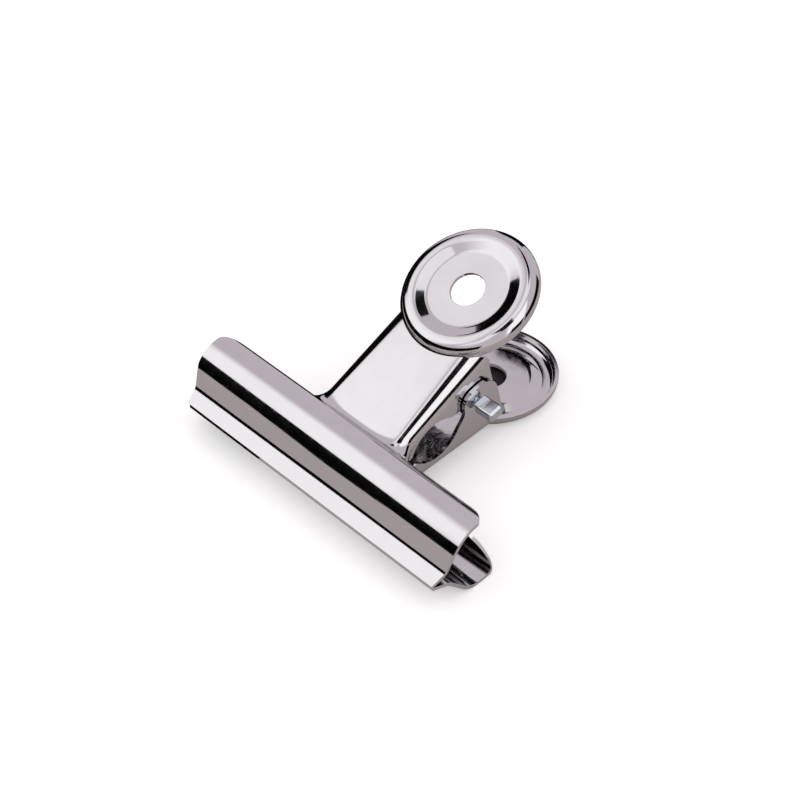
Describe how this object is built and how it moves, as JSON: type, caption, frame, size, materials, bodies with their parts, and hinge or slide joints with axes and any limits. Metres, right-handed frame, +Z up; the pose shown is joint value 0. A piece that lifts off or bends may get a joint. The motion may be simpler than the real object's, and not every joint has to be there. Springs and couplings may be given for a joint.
{
  "type": "bulldog clip",
  "caption": "Sprung sheet-steel paper clip: wide rounded jaws, folded necks hinged on a pin, and dished thumb discs with a hanging hole in each.",
  "frame": {"origin": "under the middle of the closed clip, on the surface that its lower crown and lower disc lie on", "axes": "+X along the pin and the jaws, +Y from the jaw lips towards the discs, +Z up"},
  "size_m": [0.052, 0.0464, 0.0249],
  "materials": {
    "plated_sheet": "bright nickel plate",
    "pin_steel": "bright drawn wire",
    "spring_steel": "plated spring wire"
  },
  "bodies": {
    "lower_half": {"lower_jaw": "plated_sheet", "pivot_pin": "pin_steel", "torsion_spring": "spring_steel"},
    "upper_half": {"upper_jaw": "plated_sheet"}
  },
  "joints": [
    {"name": "jaw_pivot", "type": "hinge", "parent": "lower_half", "child": "upper_half", "pos_m": [0, 0.00197, 0.00985], "axis": [-1, 0, 0], "range_deg": [0, 58], "stiffness_Nm_per_rad": 0.15, "springref_deg": -34.38, "deforming": ["torsion_spring"]}
  ]
}
